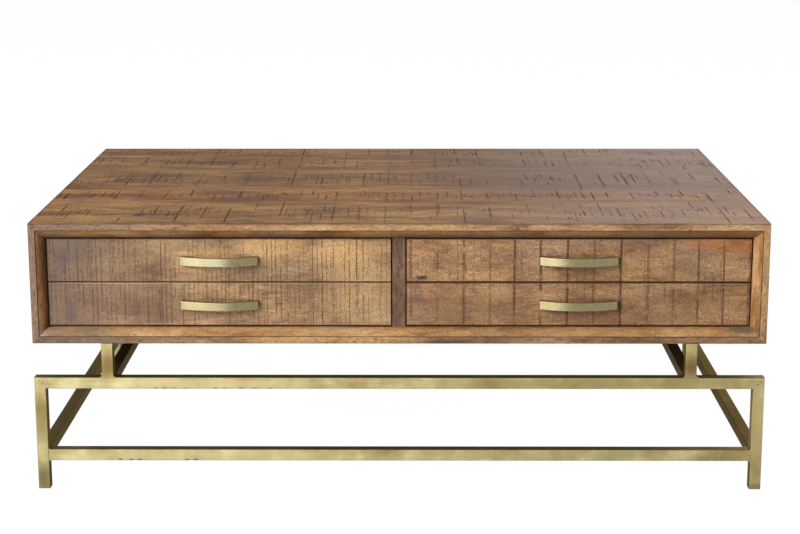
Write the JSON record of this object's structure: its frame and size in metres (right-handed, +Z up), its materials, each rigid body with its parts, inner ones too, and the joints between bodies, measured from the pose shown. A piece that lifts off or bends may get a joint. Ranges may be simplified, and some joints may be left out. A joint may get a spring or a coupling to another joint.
{
  "type": "storage coffee table",
  "caption": "Low wooden coffee table with inset drawers and bow pulls, its box case raised on risers over an open brass-finished square-tube base.",
  "frame": {"origin": "on the floor, under the middle of the case", "axes": "+X to the right along the table's length, +Y to its back, +Z up; the drawers open towards -Y"},
  "size_m": [1.2, 0.757, 0.45],
  "materials": {
    "stained_mango": "rough-sawn mango wood, brown stain, satin lacquer",
    "drawer_front_mango": "rough-sawn mango wood with saw marks, light brown stain, satin lacquer",
    "drawer_box_wood": "planed solid wood, unstained",
    "plywood": "plain plywood",
    "antique_brass_tube": "steel tube, antique brass plating, brushed",
    "brushed_brass": "brushed brass",
    "zinc_plated_steel": "zinc plated",
    "black_nylon": "moulded"
  },
  "bodies": {
    "table": {"back_left_leg": "antique_brass_tube", "back_left_riser": "antique_brass_tube", "back_lower_rail": "antique_brass_tube", "back_panel": "plywood", "back_panel_screws": "zinc_plated_steel", "back_right_leg": "antique_brass_tube", "back_right_riser": "antique_brass_tube", "back_upper_rail": "antique_brass_tube", "bottom_bead": "stained_mango", "bottom_panel": "stained_mango", "center_divider": "stained_mango", "drawer_runners": "drawer_box_wood", "foot_plugs": "black_nylon", "front_left_leg": "antique_brass_tube", "front_left_riser": "antique_brass_tube", "front_lower_rail": "antique_brass_tube", "front_right_leg": "antique_brass_tube", "front_right_riser": "antique_brass_tube", "front_upper_rail": "antique_brass_tube", "left_bead": "stained_mango", "left_cross_rail": "antique_brass_tube", "left_lower_rail": "antique_brass_tube", "left_side_panel": "stained_mango", "mounting_plates": "antique_brass_tube", "mounting_screws": "zinc_plated_steel", "right_bead": "stained_mango", "right_cross_rail": "antique_brass_tube", "right_lower_rail": "antique_brass_tube", "right_side_panel": "stained_mango", "runner_screws": "zinc_plated_steel", "top_bead": "stained_mango", "top_panel": "stained_mango"},
    "lower_left_drawer": {"lower_left_drawer_back": "drawer_box_wood", "lower_left_drawer_bottom": "plywood", "lower_left_drawer_front": "drawer_front_mango", "lower_left_drawer_left_side": "drawer_box_wood", "lower_left_drawer_right_side": "drawer_box_wood", "lower_left_pull": "brushed_brass", "lower_left_pull_screws": "zinc_plated_steel"},
    "lower_right_drawer": {"lower_right_drawer_back": "drawer_box_wood", "lower_right_drawer_bottom": "plywood", "lower_right_drawer_front": "drawer_front_mango", "lower_right_drawer_left_side": "drawer_box_wood", "lower_right_drawer_right_side": "drawer_box_wood", "lower_right_pull": "brushed_brass", "lower_right_pull_screws": "zinc_plated_steel"},
    "upper_left_drawer": {"upper_left_drawer_back": "drawer_box_wood", "upper_left_drawer_bottom": "plywood", "upper_left_drawer_front": "drawer_front_mango", "upper_left_drawer_left_side": "drawer_box_wood", "upper_left_drawer_right_side": "drawer_box_wood", "upper_left_pull": "brushed_brass", "upper_left_pull_screws": "zinc_plated_steel"},
    "upper_right_drawer": {"upper_right_drawer_back": "drawer_box_wood", "upper_right_drawer_bottom": "plywood", "upper_right_drawer_front": "drawer_front_mango", "upper_right_drawer_left_side": "drawer_box_wood", "upper_right_drawer_right_side": "drawer_box_wood", "upper_right_pull": "brushed_brass", "upper_right_pull_screws": "zinc_plated_steel"}
  },
  "joints": [
    {"name": "lower_left_drawer_slide", "type": "slide", "parent": "table", "child": "lower_left_drawer", "axis": [0, -1, 0], "range_m": [0, 0.42]},
    {"name": "lower_right_drawer_slide", "type": "slide", "parent": "table", "child": "lower_right_drawer", "axis": [0, -1, 0], "range_m": [0, 0.42]},
    {"name": "upper_left_drawer_slide", "type": "slide", "parent": "table", "child": "upper_left_drawer", "axis": [0, -1, 0], "range_m": [0, 0.42]},
    {"name": "upper_right_drawer_slide", "type": "slide", "parent": "table", "child": "upper_right_drawer", "axis": [0, -1, 0], "range_m": [0, 0.42]}
  ]
}
